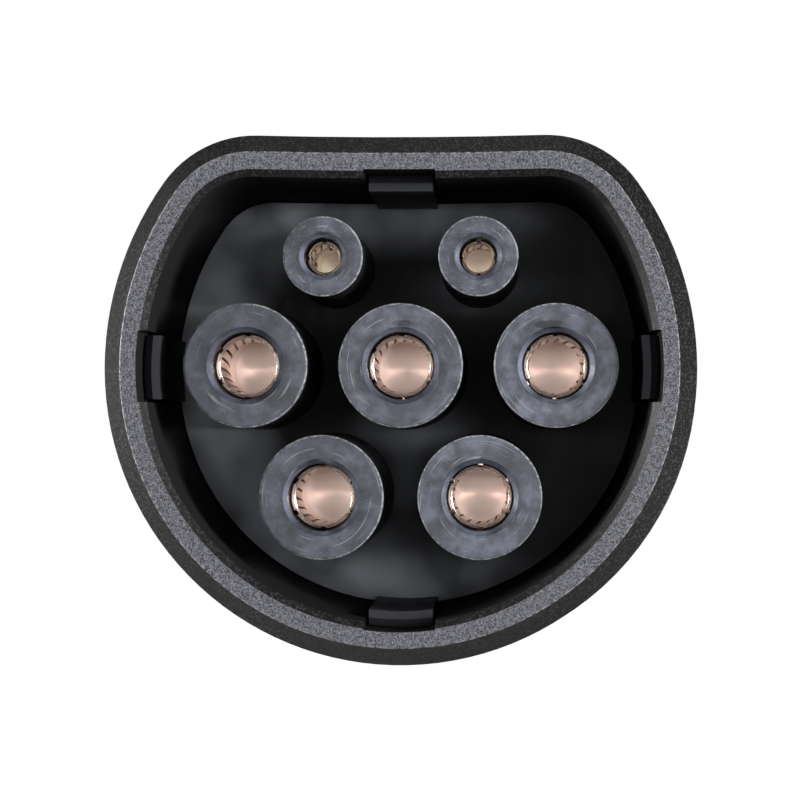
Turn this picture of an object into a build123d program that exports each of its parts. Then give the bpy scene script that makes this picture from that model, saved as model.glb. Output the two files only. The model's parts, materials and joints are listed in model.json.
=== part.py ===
from build123d import *
import os
from math import hypot, sqrt

# Vehicle connector of a three-phase alternating-current charging lead: a D-shaped nose with seven
# socket contacts in insulating tubes, a two-shell handle and a cable gland. All sizes in millimetres.
#
# The pieces are modelled with the plug's axis upright: x to the right and y up as seen by somebody
# looking into the nose, z towards that person. "depth" is the distance behind the rim of the nose.
# The finished pieces are turned so that the nose points along -Y and +Z is up.

# ---------------------------------------------------------------- nose
TUBE_TO_SIDE = 7.72      # side tubes to the nose's outer surface
FLANK_STEP = 2.7         # the flanks' gentler arcs have a radius this much larger
CORNER_R = 11.3          # upper corners
NOSE_FLAT = 23.45        # height of the upper flat above the nose axis
FLAT_HOLLOW_R = 520.0    # the upper flat is very slightly hollow
TAPER_INSET = 1.9        # how far the lead-in taper draws the outside in at the rim
TAPER_LENGTH = 4.0
RIM_LAND = 1.8           # flat land around the mouth
RIM_EDGE = 0.12          # broken edge of the rim
MOUTH_INSET = 0.7        # lead-in bevel inside the mouth
MOUTH_LENGTH = 0.9
CAVITY_DEPTH = 34.0      # rim to the front of the contact carrier's floor
CAVITY_DRAFT = 0.2       # the cavity narrows by this much over its depth
LOCK_RECESS_WIDTH = 8.0  # blind recess in the upper flat for the inlet's locking pin
LOCK_RECESS_LENGTH = 7.0
LOCK_RECESS_SINK = 2.2
LOCK_RECESS_DEPTH = 13.0  # rim to the front edge of the recess
LOCK_RECESS_CORNER = 1.0

# ---------------------------------------------------------------- spigot that the handle shells grip
COLLAR_DEPTH = 46.0      # rim to the front of the handle shells
SPIGOT_LENGTH = 14.5
SPIGOT_INSET = 1.0
SEAT_STEP = 6.0          # cavity floor to the step on which the contact carrier seats
REAR_BORE_INSET = 3.4    # wider bore behind the seat
RIB_START = 9.0          # collar front to the rib that holds the shroud in the shells
RIB_WIDTH = 2.5
RIB_RISE = 1.0
SEAL_GROOVE_START = 3.5  # collar front to the groove of the collar seal
SEAL_GROOVE_WIDTH = 2.2
SEAL_GROOVE_SINK = 1.0
SEAL_SQUEEZE = 0.05      # the seal rings stand this far clear of the groove walls

# ---------------------------------------------------------------- contacts
CONTACT_PITCH = 15.8     # earth to the line contacts beside it
CONTACT_RISE = 0.35      # earth contact above the nose axis
PILOT_X = 7.9
PILOT_RISE = 11.1        # pilot contacts above the earth contact
LOWER_X = 8.05
LOWER_DROP = 13.4        # lower contacts below the earth contact
TUBE_RECESS = 5.0        # rim to the tube faces
LIP_LENGTH = 3.8         # insulating lip in front of each contact
TUBE_DRAFT = 0.15        # growth of a tube's radius from its face to the floor
TUBE_EDGE = 0.2

POWER_TUBE_R = 6.33
POWER_MOUTH_R = 3.45
POWER_BEVEL = 0.5
POWER_SOCKET_R = 3.1
POWER_SLEEVE_R = 4.15
POWER_COLLAR_R = 5.0
POWER_SHANK_R = 3.6
POWER_CUP_R = 2.2
POWER_SLOTS = 6
POWER_SLOT_WIDTH = 0.6

PILOT_TUBE_R = 4.07
PILOT_MOUTH_R = 1.95
PILOT_BEVEL = 0.5
PILOT_SOCKET_R = 1.6
PILOT_SLEEVE_R = 2.35
PILOT_COLLAR_R = 3.05
PILOT_SHANK_R = 1.9
PILOT_CUP_R = 0.9
PILOT_SLOTS = 4
PILOT_SLOT_WIDTH = 0.45

SOCKET_LENGTH = 24.0     # straight length of a contact's socket
SOCKET_LEAD = 0.35       # lead-in bevel of the socket
SOCKET_DISH = 0.06       # slope of the turned floor of the socket
DRILL_SLOPE = 0.6        # axial rise of the cup's drill point for each millimetre of its radius
SLOT_LENGTH = 16.0       # length of the slots between the spring fingers
SPRING_START = 1.6       # contact front to its spring ring
SPRING_WIDTH = 5.0
SPRING_SINK = 0.3        # the ring lies in a groove this deep
SPRING_WALL = 0.4
SPRING_SLIT = 0.8
FRONT_COLLAR = 3.0
ORING_WIDTH = 2.0        # groove between the front and rear collars
REAR_COLLAR = 3.0
ORING_SINK = 0.9
ORING_CORNER = 0.3       # share of the ring's thickness that its corners take
SHANK_LENGTH = 13.0      # contact shank behind the carrier
CUP_LENGTH = 9.0         # hole for the conductor in the end of the shank
CONTACT_GAP = 0.1        # contact in its bore, all round
SLEEVE_GAP = 0.45        # room for the spring fingers to open

# ---------------------------------------------------------------- contact carrier
CARRIER_FLANGE = 4.5     # thickness of the flange behind the gasket
CARRIER_GAP = 0.2        # carrier in the shroud, all round
TUBE_SEAT = 1.2          # the tubes' feet stand in counterbores this deep
TUBE_SEAT_GAP = 0.05
CARRIER_WALL = 2.2       # rim wall and contact bosses behind the floor, which ends at the shoulder
GASKET_WIDTH = 1.5
TONGUE_RECESS = 6.0      # rim to the front of the latch tongues
TONGUE_WIDTH = 6.5
TONGUE_INSET = 3.8       # outer face of the tongues, inside the nose's outer surface
TONGUE_THICKNESS = 1.55
TONGUE_TIP = 0.75        # bevel on the outer edge of each tongue's tip
BARB_START = 1.6         # tongue front to its barb
BARB_LENGTH = 2.0
BARB_RISE = 0.5
GROOVE_WIDTH = 7.2       # grooves in the shroud that the tongues run in
TONGUE_GAP = 0.25
SIDE_TONGUE_RISE = 0.2   # the two side tongues sit slightly above the nose axis

# ---------------------------------------------------------------- contact retainer
RETAINER_THICKNESS = 3.5
RETAINER_INSET = 4.2
RETAINER_SCREW_X = 17.4
RETAINER_SCREW_TOP = 9.4
RETAINER_SCREW_DROP = 11.0
RETAINER_SCREW_GRIP = 7.0  # thread length in the carrier, through to its cored front

# ---------------------------------------------------------------- screws, all 3 mm
SCREW_R = 1.45
SCREW_HOLE_R = 1.5       # hole that takes the thread
SCREW_CLEARANCE_R = 1.7
SCREW_HEAD_R = 2.75
SCREW_HEAD_HEIGHT = 2.2
SCREW_HEAD_EDGE = 0.25
HEX_SOCKET_R = 1.4
HEX_SOCKET_SINK = 1.3
HEAD_GAP = 0.3
HOLE_RUNOUT = 1.5        # thread holes go this much deeper than the thread

# ---------------------------------------------------------------- handle shells
COLLAR_RISE = 2.4        # collar outside the nose's surface
COLLAR_LENGTH = 18.0
COLLAR_EDGE = 0.8
SHELL_GAP = 0.15         # shells around the spigot
SHELL_WALL = 2.8
REST_DROP = 31.6         # height of the nose axis above the surface that the plug lies on
# cross-sections of the handle: distance behind the collar's front, half width, top, bottom, corner
HANDLE_SECTIONS = (
    (14.0, 30.5, 24.3, -30.5, 26.5),
    (30.0, 28.5, 22.3, -29.0, 24.0),
    (54.0, 22.5, 18.0, -22.0, 18.0),
    (82.0, 20.5, 15.5, -18.5, 15.5),
    (110.0, 20.5, 14.5, -20.0, 15.5),
    (134.0, 22.5, 15.5, -28.0, 17.0),
    (146.0, 23.5, 16.0, -32.2, 17.0),
    (159.0, 22.5, 15.0, -32.2, 17.0),
)
# shell screws: distance behind the collar's front, height
FRONT_SHELL_SCREWS = ((28.0, 16.5), (28.0, -21.5), (66.0, 10.6), (66.0, -13.4), (112.0, 8.6), (116.0, -15.4))
REAR_SCREW_GAP = 1.1     # clamp to the bosses of the two rear shell screws
REAR_SCREW_TOP = 10.0
REAR_SCREW_BOTTOM = -23.5
BOSS_R = 3.4
HEAD_RECESS_FLOOR = 9.0  # split plane to the floor of the screw-head recesses
INSERT_R = 2.2
INSERT_LENGTH = 6.0
INSERT_START = 1.5       # split plane to the threaded insert
INSERT_GAP = 0.02

# ---------------------------------------------------------------- cable gland and clamp
GLAND_DROP = 8.0         # cable axis below the nose axis
CABLE_R = 8.5            # hole for the cable
REAR_WALL = 3.5          # end wall of the shells
NECK_R = 12.0
GLAND_GAP = 0.15
FLANGE_R = 15.0
FLANGE_WIDTH = 3.0
THREAD_LENGTH = 15.0
GLAND_BORE_R = 10.2
GLAND_STEP = 1.0         # slope between the flange's hole and the gland's bore
SEAL_START = 1.5         # shells' end wall to the front of the gland seal
SEAL_FLARE = 1.0
SEAL_PROUD = 3.0         # seal behind the gland's thread
NUT_R = 16.0
NUT_LENGTH = 24.0
NUT_START = 0.5          # gap between the nut and the shells' end wall
NUT_CONE_START = 2.0     # the cone starts this far before the seal's end
NUT_CONE_INSET = 4.0
NUT_STEP = 0.5
NUT_FLUTES = 12
FLUTE_R = 2.4
FLUTE_OUTSET = 1.2       # centre of a flute outside the nut's surface
FLUTE_START = 2.0
NUT_MOUTH_R = 9.4
CLAMP_SETBACK = 30.0     # handle's end to the front of the cable clamp
CLAMP_WIDTH = 12.0
CLAMP_GAP = 1.0          # clamp faces to the split plane
CLAMP_THICKNESS = 11.0
CLAMP_SCREW_OFFSET = 11.4
CLAMP_CRADLE_R = 8.2
CLAMP_HALF = 14.2
CLAMP_CORNER = 4.0
CLAMP_SEAT = 5.0         # bar thickness under the screw heads
CLAMP_SCREW_GRIP = 7.0   # thread length beyond the split plane

# ---------------------------------------------------------------- coding resistor
RESISTOR_R = 1.6
RESISTOR_LENGTH = 7.0
LEAD_R = 0.35
LEAD_REACH = 3.0         # leads into the shanks' wire cups
RESISTOR_STANDOFF = 2.6  # behind the contact shanks

# worked out from the sizes above
NOSE_R = CONTACT_PITCH + POWER_TUBE_R + TUBE_DRAFT + TUBE_TO_SIDE  # round lower half of the nose
SIDE_R = NOSE_R + FLANK_STEP
SEAT_DEPTH = CAVITY_DEPTH + SEAT_STEP
CONTACT_FRONT = TUBE_RECESS + LIP_LENGTH
FLANGE_FRONT = SEAT_DEPTH + GASKET_WIDTH
CARRIER_REAR = FLANGE_FRONT + CARRIER_FLANGE
ORING_DEPTH = CARRIER_REAR - REAR_COLLAR - ORING_WIDTH
SHOULDER_DEPTH = ORING_DEPTH - FRONT_COLLAR  # the contacts' front collars meet this shoulder
CONTACT_REAR = CARRIER_REAR + SHANK_LENGTH
COLLAR_REAR = COLLAR_DEPTH + COLLAR_LENGTH
SPIGOT_REAR = COLLAR_DEPTH + SPIGOT_LENGTH
CAVITY_INSET = TAPER_INSET + RIM_LAND + MOUTH_INSET
FLOOR_INSET = CAVITY_INSET + CAVITY_DRAFT
HANDLE_REAR = COLLAR_DEPTH + HANDLE_SECTIONS[-1][0]
CLAMP_DEPTH = HANDLE_REAR - CLAMP_SETBACK
GROOVE_INSET = TONGUE_INSET - TONGUE_GAP

POWER_CONTACTS = {
    "line_1": (-CONTACT_PITCH, CONTACT_RISE),
    "earth": (0.0, CONTACT_RISE),
    "neutral": (CONTACT_PITCH, CONTACT_RISE),
    "line_2": (-LOWER_X, CONTACT_RISE - LOWER_DROP),
    "line_3": (LOWER_X, CONTACT_RISE - LOWER_DROP),
}
PILOT_CONTACTS = {
    "control_pilot": (-PILOT_X, CONTACT_RISE + PILOT_RISE),
    "proximity_pilot": (PILOT_X, CONTACT_RISE + PILOT_RISE),
}


def corner_centre():
    """Centre of the upper right corner arc: it touches the flank inside and the hollow flat outside."""
    side_x = NOSE_R - SIDE_R
    hollow_y = NOSE_FLAT + FLAT_HOLLOW_R
    to_side = SIDE_R - CORNER_R
    to_hollow = FLAT_HOLLOW_R + CORNER_R
    apart = hypot(side_x, hollow_y)
    along = (to_side**2 - to_hollow**2 + apart**2) / (2 * apart)
    across = sqrt(to_side**2 - along**2)
    ux, uy = -side_x / apart, hollow_y / apart
    return Vector(side_x + along * ux + across * uy, along * uy - across * ux)


def arc_about(centre, radius, start, end):
    """Arc of less than half a turn between two directions from its centre."""
    middle = (start.normalized() + end.normalized()).normalized()
    return ThreePointArc(
        centre + start.normalized() * radius,
        centre + middle * radius,
        centre + end.normalized() * radius,
    )


def d_outline(inset):
    """Outline of the nose, this far inside its outer surface."""
    right = Vector(1, 0)
    side = Vector(NOSE_R - SIDE_R, 0)
    hollow = Vector(0, NOSE_FLAT + FLAT_HOLLOW_R)
    corner = corner_centre()
    flank = arc_about(side, SIDE_R - inset, right, corner - side)
    shoulder = arc_about(corner, CORNER_R - inset, corner - side, hollow - corner)
    top = arc_about(
        hollow,
        FLAT_HOLLOW_R + inset,
        corner - hollow,
        Vector(-corner.X, corner.Y) - hollow,
    )
    radius = NOSE_R - inset
    belly = ThreePointArc((-radius, 0), (0, -radius), (radius, 0))
    left = [mirror(edge, Plane.YZ) for edge in (shoulder, flank)]
    return make_face([belly, flank, shoulder, top] + left)


def d_solid(*stations):
    """Solid with the nose's outline, straight between stations of (depth, inset)."""
    return loft([Pos(0, 0, -depth) * d_outline(inset) for depth, inset in stations], ruled=True)


def d_ring(front, rear, outer_inset, inner_inset):
    """Straight ring with the nose's outline."""
    return d_solid((front, outer_inset), (rear, outer_inset)) - d_solid(
        (front, inner_inset), (rear, inner_inset)
    )


def turned(*profile):
    """Solid of revolution about the z axis through (radius, depth) corners."""
    corners = [(radius, -depth) for radius, depth in profile]
    return revolve(Plane.XZ * make_face(Polyline(*corners, close=True)), Axis.Z)


def rod(radius, front, rear):
    """Cylinder about the z axis between two depths."""
    return Pos(0, 0, -rear) * Cylinder(
        radius, rear - front, align=(Align.CENTER, Align.CENTER, Align.MIN)
    )


def block(left, right, bottom, top, front, rear):
    """Box between two sides, two heights and two depths."""
    return Pos((left + right) / 2, (bottom + top) / 2, -(front + rear) / 2) * Box(
        right - left, top - bottom, rear - front
    )


def cross_bars(width, front, rear):
    """Upright and level bars that pick out the places of the four latch tongues."""
    reach = 2 * NOSE_R
    upright = block(-width / 2, width / 2, -reach, reach, front, rear)
    level = block(
        -reach, reach, SIDE_TONGUE_RISE - width / 2, SIDE_TONGUE_RISE + width / 2, front, rear
    )
    return upright + level


def nose_shroud():
    """Front housing: tapered D-shaped tube with latch grooves, locking recess and rear spigot."""
    body = d_solid(
        (0, TAPER_INSET + RIM_EDGE),
        (RIM_EDGE, TAPER_INSET),
        (TAPER_LENGTH, 0),
        (COLLAR_DEPTH, 0),
    )
    body += d_solid((COLLAR_DEPTH, SPIGOT_INSET), (SPIGOT_REAR, SPIGOT_INSET))
    rib_front = COLLAR_DEPTH + RIB_START
    body += d_solid(
        (rib_front, SPIGOT_INSET - RIB_RISE), (rib_front + RIB_WIDTH, SPIGOT_INSET - RIB_RISE)
    )
    body -= d_solid(
        (0, TAPER_INSET + RIM_LAND),
        (MOUTH_LENGTH, CAVITY_INSET),
        (SEAT_DEPTH, FLOOR_INSET),
    )
    body -= d_solid((SEAT_DEPTH, REAR_BORE_INSET), (SPIGOT_REAR, REAR_BORE_INSET))
    groove = d_solid((0, GROOVE_INSET), (SEAT_DEPTH, GROOVE_INSET))
    body -= groove & cross_bars(GROOVE_WIDTH, 0, SEAT_DEPTH)
    barb_front = TONGUE_RECESS + BARB_START - TONGUE_GAP
    barb_rear = TONGUE_RECESS + BARB_START + BARB_LENGTH + TONGUE_GAP
    catch = d_solid((barb_front, GROOVE_INSET - BARB_RISE), (barb_rear, GROOVE_INSET - BARB_RISE))
    body -= catch & cross_bars(GROOVE_WIDTH, barb_front, barb_rear)
    seal_front = COLLAR_DEPTH + SEAL_GROOVE_START
    body -= d_ring(
        seal_front, seal_front + SEAL_GROOVE_WIDTH, 0, SPIGOT_INSET + SEAL_GROOVE_SINK
    )
    recess = block(
        -LOCK_RECESS_WIDTH / 2,
        LOCK_RECESS_WIDTH / 2,
        NOSE_FLAT - LOCK_RECESS_SINK,
        NOSE_FLAT + 1,
        LOCK_RECESS_DEPTH,
        LOCK_RECESS_DEPTH + LOCK_RECESS_LENGTH,
    )
    return body - fillet(recess.edges().filter_by(Axis.Y), LOCK_RECESS_CORNER)


def insulating_tube(radius, mouth_r, bevel, sleeve_r):
    """Tube that shields one contact: bevelled mouth, lip, room for the spring fingers, drafted wall."""
    foot = CAVITY_DEPTH + TUBE_SEAT
    return turned(
        (mouth_r + bevel, TUBE_RECESS),
        (radius - TUBE_EDGE, TUBE_RECESS),
        (radius, TUBE_RECESS + TUBE_EDGE),
        (radius + TUBE_DRAFT, CAVITY_DEPTH),
        (radius + TUBE_DRAFT, foot),
        (sleeve_r + SLEEVE_GAP, foot),
        (sleeve_r + SLEEVE_GAP, CONTACT_FRONT),
        (mouth_r, CONTACT_FRONT),
        (mouth_r, TUBE_RECESS + bevel),
    )


def floor_bore(radius, sleeve_r, collar_r):
    """Stepped hole for one contact in the carrier: tube seat, sleeve room and collar room."""
    seat_r = radius + TUBE_DRAFT + TUBE_SEAT_GAP
    seat = CAVITY_DEPTH + TUBE_SEAT
    return turned(
        (0, CAVITY_DEPTH),
        (seat_r, CAVITY_DEPTH),
        (seat_r, seat),
        (sleeve_r + SLEEVE_GAP, seat),
        (sleeve_r + SLEEVE_GAP, SHOULDER_DEPTH),
        (collar_r + CONTACT_GAP, SHOULDER_DEPTH),
        (collar_r + CONTACT_GAP, CARRIER_REAR),
        (0, CARRIER_REAR),
    )


def latch_tongues():
    """Four tongues along the cavity wall, each with a barb behind its bevelled tip."""
    inner = TONGUE_INSET + TONGUE_THICKNESS
    tongue_rear = SEAT_DEPTH - TONGUE_GAP
    strip = d_solid(
        (TONGUE_RECESS, TONGUE_INSET + TONGUE_TIP),
        (TONGUE_RECESS + TONGUE_TIP, TONGUE_INSET),
        (tongue_rear, TONGUE_INSET),
    )
    barb_front = TONGUE_RECESS + BARB_START
    strip += d_solid(
        (barb_front, TONGUE_INSET),
        (barb_front + BARB_RISE, TONGUE_INSET - BARB_RISE),
        (barb_front + BARB_LENGTH, TONGUE_INSET - BARB_RISE),
    )
    strip -= d_solid((TONGUE_RECESS, inner), (tongue_rear, inner))
    return strip & cross_bars(TONGUE_WIDTH, TONGUE_RECESS, tongue_rear)


def carrier_bosses():
    """Bosses behind the carrier's floor for the contacts and the retainer's screws."""
    front, rear = CAVITY_DEPTH + 1, CARRIER_REAR
    bosses = Part()
    for x, y in POWER_CONTACTS.values():
        bosses += Pos(x, y) * rod(POWER_COLLAR_R + CARRIER_WALL, front, rear)
    for x, y in PILOT_CONTACTS.values():
        bosses += Pos(x, y) * rod(PILOT_COLLAR_R + CARRIER_WALL, front, rear)
    for x, y in retainer_screw_places():
        bosses += Pos(x, y) * rod(SCREW_HOLE_R + CARRIER_WALL, front, rear)
    return bosses


def contact_carrier():
    """Insulating insert: floor with seats for the tubes, latch tongues and seating flange."""
    plate_inset = FLOOR_INSET + CARRIER_GAP
    flange_inset = REAR_BORE_INSET + CARRIER_GAP
    body = d_solid((CAVITY_DEPTH, plate_inset), (CARRIER_REAR, plate_inset))
    body += d_solid((FLANGE_FRONT, flange_inset), (CARRIER_REAR, flange_inset))
    core_inset = plate_inset + CARRIER_WALL
    body -= d_solid((SHOULDER_DEPTH, core_inset), (CARRIER_REAR, core_inset)) - carrier_bosses()
    body += latch_tongues()
    for x, y in POWER_CONTACTS.values():
        body -= Pos(x, y) * floor_bore(POWER_TUBE_R, POWER_SLEEVE_R, POWER_COLLAR_R)
    for x, y in PILOT_CONTACTS.values():
        body -= Pos(x, y) * floor_bore(PILOT_TUBE_R, PILOT_SLEEVE_R, PILOT_COLLAR_R)
    thread_end = CARRIER_REAR - RETAINER_SCREW_GRIP
    for x, y in retainer_screw_places():
        body -= Pos(x, y) * rod(SCREW_HOLE_R, thread_end, CARRIER_REAR)
    return body


def carrier_gasket():
    """Flat ring between the shroud's seat and the carrier's flange."""
    return d_ring(
        SEAT_DEPTH, SEAT_DEPTH + GASKET_WIDTH, REAR_BORE_INSET + CARRIER_GAP, FLOOR_INSET
    )


def collar_seal():
    """Ring in the spigot's groove that seals it to the handle shells."""
    front = COLLAR_DEPTH + SEAL_GROOVE_START + SEAL_SQUEEZE
    rear = COLLAR_DEPTH + SEAL_GROOVE_START + SEAL_GROOVE_WIDTH - SEAL_SQUEEZE
    return d_ring(
        front,
        rear,
        SPIGOT_INSET - SHELL_GAP + SEAL_SQUEEZE,
        SPIGOT_INSET + SEAL_GROOVE_SINK - SEAL_SQUEEZE,
    )


def socket_contact(socket_r, sleeve_r, collar_r, shank_r, cup_r, slots, slot_width):
    """Turned contact: slotted socket, two collars around an O-ring groove, shank with wire cup."""
    front = CONTACT_FRONT + CONTACT_GAP
    spring = front + SPRING_START
    socket_end = front + SOCKET_LENGTH
    rear_collar = ORING_DEPTH + ORING_WIDTH
    cup = CONTACT_REAR - CUP_LENGTH
    body = turned(
        (0, front),
        (sleeve_r - SOCKET_LEAD, front),
        (sleeve_r, front + SOCKET_LEAD),
        (sleeve_r, spring),
        (sleeve_r - SPRING_SINK, spring),
        (sleeve_r - SPRING_SINK, spring + SPRING_WIDTH),
        (sleeve_r, spring + SPRING_WIDTH),
        (sleeve_r, SHOULDER_DEPTH),
        (collar_r, SHOULDER_DEPTH),
        (collar_r, ORING_DEPTH),
        (collar_r - ORING_SINK, ORING_DEPTH),
        (collar_r - ORING_SINK, rear_collar),
        (collar_r, rear_collar),
        (collar_r, CARRIER_REAR),
        (shank_r, CARRIER_REAR),
        (shank_r, CONTACT_REAR),
        (0, CONTACT_REAR),
    )
    for index in range(slots):
        slot = block(-slot_width / 2, slot_width / 2, 0, 2 * sleeve_r, front, front + SLOT_LENGTH)
        body -= Rot(0, 0, 360 * index / slots) * slot
    body -= turned(
        (0, front),
        (socket_r + SOCKET_LEAD, front),
        (socket_r, front + SOCKET_LEAD),
        (socket_r, socket_end),
        (0, socket_end + SOCKET_DISH * socket_r),
    )
    return body - turned(
        (0, cup - DRILL_SLOPE * cup_r), (cup_r, cup), (cup_r, CONTACT_REAR), (0, CONTACT_REAR)
    )


def ring(inner_r, outer_r, front, rear):
    """Plain turned ring."""
    return turned((inner_r, front), (outer_r, front), (outer_r, rear), (inner_r, rear))


def spring_ring(sleeve_r):
    """Slit steel ring that presses the spring fingers together."""
    front = CONTACT_FRONT + CONTACT_GAP + SPRING_START + SEAL_SQUEEZE
    rear = front + SPRING_WIDTH - 2 * SEAL_SQUEEZE
    inner_r = sleeve_r - SPRING_SINK + SEAL_SQUEEZE
    band = ring(inner_r, inner_r + SPRING_WALL, front, rear)
    slit = block(-SPRING_SLIT / 2, SPRING_SLIT / 2, -2 * sleeve_r, 0, front, rear)
    return band - slit


def contact_oring(collar_r):
    """Ring that seals a contact in its bore, squeezed flat against the groove and the bore."""
    front = ORING_DEPTH + SEAL_SQUEEZE
    inner_r = collar_r - ORING_SINK + SEAL_SQUEEZE
    outer_r = collar_r + CONTACT_GAP - SEAL_SQUEEZE / 2
    width = ORING_WIDTH - 2 * SEAL_SQUEEZE
    corner = (outer_r - inner_r) * ORING_CORNER
    return turned(
        (inner_r, front + corner),
        (inner_r + corner, front),
        (outer_r - corner, front),
        (outer_r, front + corner),
        (outer_r, front + width - corner),
        (outer_r - corner, front + width),
        (inner_r + corner, front + width),
        (inner_r, front + width - corner),
    )


def retainer_screw_places():
    """Places of the four screws between the contacts."""
    return [
        (side * RETAINER_SCREW_X, height)
        for side in (-1, 1)
        for height in (RETAINER_SCREW_TOP, -RETAINER_SCREW_DROP)
    ]


def contact_retainer():
    """Rear plate that keeps the contacts in the carrier."""
    front, rear = CARRIER_REAR, CARRIER_REAR + RETAINER_THICKNESS
    plate = d_solid((front, RETAINER_INSET), (rear, RETAINER_INSET))
    for x, y in POWER_CONTACTS.values():
        plate -= Pos(x, y) * rod(POWER_SHANK_R + CONTACT_GAP, front, rear)
    for x, y in PILOT_CONTACTS.values():
        plate -= Pos(x, y) * rod(PILOT_SHANK_R + CONTACT_GAP, front, rear)
    for x, y in retainer_screw_places():
        plate -= Pos(x, y) * rod(SCREW_CLEARANCE_R, front, rear)
    return plate


def cap_screw(length):
    """Cylinder-head screw with a hexagon socket, its head's underside at depth 0."""
    shank = rod(SCREW_R, -length, 0)
    head = rod(SCREW_HEAD_R, 0, SCREW_HEAD_HEIGHT)
    head = chamfer(head.edges().sort_by(Axis.Z)[0], SCREW_HEAD_EDGE)
    socket = extrude(
        Pos(0, 0, -SCREW_HEAD_HEIGHT) * RegularPolygon(HEX_SOCKET_R, 6), amount=HEX_SOCKET_SINK
    )
    return shank + head - socket


def retainer_screws():
    """Screws that hold the retainer plate to the carrier."""
    screw = cap_screw(RETAINER_THICKNESS + RETAINER_SCREW_GRIP)
    seat = -(CARRIER_REAR + RETAINER_THICKNESS)
    return Compound(children=[Pos(x, y, seat) * screw for x, y in retainer_screw_places()])


def coding_resistor():
    """Resistor between the proximity and earth contacts' rear ends, with its two leads."""
    far_x, far_y = PILOT_CONTACTS["proximity_pilot"]
    near_x, near_y = POWER_CONTACTS["earth"]
    depth = CONTACT_REAR + RESISTOR_STANDOFF
    start = Vector(near_x, near_y, -depth)
    end = Vector(far_x, far_y, -depth)
    along = (end - start).normalized()
    middle = (start + end) * 0.5
    body = Plane(origin=middle, z_dir=along) * Cylinder(RESISTOR_R, RESISTOR_LENGTH)
    lead = Plane(origin=middle, z_dir=along) * Cylinder(LEAD_R, (end - start).length)
    body += lead
    for place in (start, end):
        body += Pos(place) * Sphere(LEAD_R)
        leg = Cylinder(
            LEAD_R, RESISTOR_STANDOFF + LEAD_REACH, align=(Align.CENTER, Align.CENTER, Align.MIN)
        )
        body += Pos(place) * leg
    return body


def handle_section(behind, half_width, top, bottom, radius, inset):
    """One cross-section of the handle, this far inside its outer surface."""
    outline = RectangleRounded(
        2 * (half_width - inset), top - bottom - 2 * inset, radius - inset
    )
    return Pos(0, (top + bottom) / 2, -behind) * outline


def handle_body(inset, shorten=0.0):
    """Lofted handle from behind the collar to its rear end, this far inside its outer surface."""
    sections = [handle_section(*section, inset) for section in HANDLE_SECTIONS[:-1]]
    end, half_width, top, bottom, radius = HANDLE_SECTIONS[-1]
    sections.append(handle_section(end - shorten, half_width, top, bottom, radius, inset))
    return Pos(0, 0, -COLLAR_DEPTH) * loft(sections)


def shell_screw_axis(depth, height):
    """Frame with its z axis along a shell screw, towards the screw's head on the left."""
    return Location(Plane(origin=(0, height, -depth), x_dir=(0, 1, 0), z_dir=(-1, 0, 0)))


def shell_screw_places():
    """Depth and height of the shell screws, the last two just behind the cable clamp."""
    places = [(COLLAR_DEPTH + behind, height) for behind, height in FRONT_SHELL_SCREWS]
    rear = CLAMP_DEPTH + CLAMP_WIDTH + REAR_SCREW_GAP + BOSS_R
    return places + [(rear, REAR_SCREW_TOP), (rear, REAR_SCREW_BOTTOM)]


def upright_rod(radius, start, end):
    """Cylinder along z from start to end."""
    return Pos(0, 0, start) * Cylinder(
        radius, end - start, align=(Align.CENTER, Align.CENTER, Align.MIN)
    )


def gland_axis():
    """Frame of the cable's axis."""
    return Pos(0, -GLAND_DROP, 0)


def handle_outer():
    """Outer form of the closed handle, cut flat where it rests."""
    collar = d_solid(
        (COLLAR_DEPTH, COLLAR_EDGE - COLLAR_RISE),
        (COLLAR_DEPTH + COLLAR_EDGE, -COLLAR_RISE),
        (COLLAR_REAR - COLLAR_EDGE, -COLLAR_RISE),
        (COLLAR_REAR, COLLAR_EDGE - COLLAR_RISE),
    )
    body = handle_body(0) + collar
    reach = 3 * NOSE_R
    return body & block(-reach, reach, -REST_DROP, reach, 0, HANDLE_REAR)


def handle_inner():
    """Hollow of the closed handle: spigot seat, rib groove and wiring space."""
    rib_front = COLLAR_DEPTH + RIB_START - SHELL_GAP
    rib_rear = COLLAR_DEPTH + RIB_START + RIB_WIDTH + SHELL_GAP
    spigot_inset = SPIGOT_INSET - SHELL_GAP
    spigot_rear = SPIGOT_REAR + SHELL_GAP
    hollow = d_solid((COLLAR_DEPTH, spigot_inset), (spigot_rear, spigot_inset))
    rib_inset = spigot_inset - RIB_RISE
    hollow += d_solid((rib_front, rib_inset), (rib_rear, rib_inset))
    return hollow + handle_body(SHELL_WALL, REAR_WALL)


def handle_shells():
    """Left and right shell of the handle, split on the middle plane."""
    reach = 3 * NOSE_R
    left_half = block(-reach, 0, -reach, reach, 0, HANDLE_REAR)
    right_half = block(0, reach, -reach, reach, 0, HANDLE_REAR)
    outer = handle_outer()
    hollow = handle_inner()
    bosses = Part()
    for depth, height in shell_screw_places():
        bosses += shell_screw_axis(depth, height) * upright_rod(BOSS_R, -reach / 2, reach / 2)
    shell = (outer - hollow) + (bosses & outer)
    gland_hole = rod(NECK_R + GLAND_GAP, HANDLE_REAR - REAR_WALL, HANDLE_REAR)
    shell -= gland_axis() * gland_hole
    shell -= gland_axis() * gland_flange(GLAND_GAP)
    left = shell & left_half
    right = shell & right_half
    insert_end = -INSERT_START - INSERT_LENGTH
    for depth, height in shell_screw_places():
        axis = shell_screw_axis(depth, height)
        left -= axis * upright_rod(SCREW_CLEARANCE_R, 0, reach)
        left -= axis * upright_rod(SCREW_HEAD_R + HEAD_GAP, HEAD_RECESS_FLOOR, reach)
        right -= axis * upright_rod(INSERT_R, insert_end, 0)
        right -= axis * upright_rod(SCREW_CLEARANCE_R, insert_end - HOLE_RUNOUT, 0)
    right += clamp_saddle() & handle_body(SHELL_WALL / 2)
    return left, right


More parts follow.
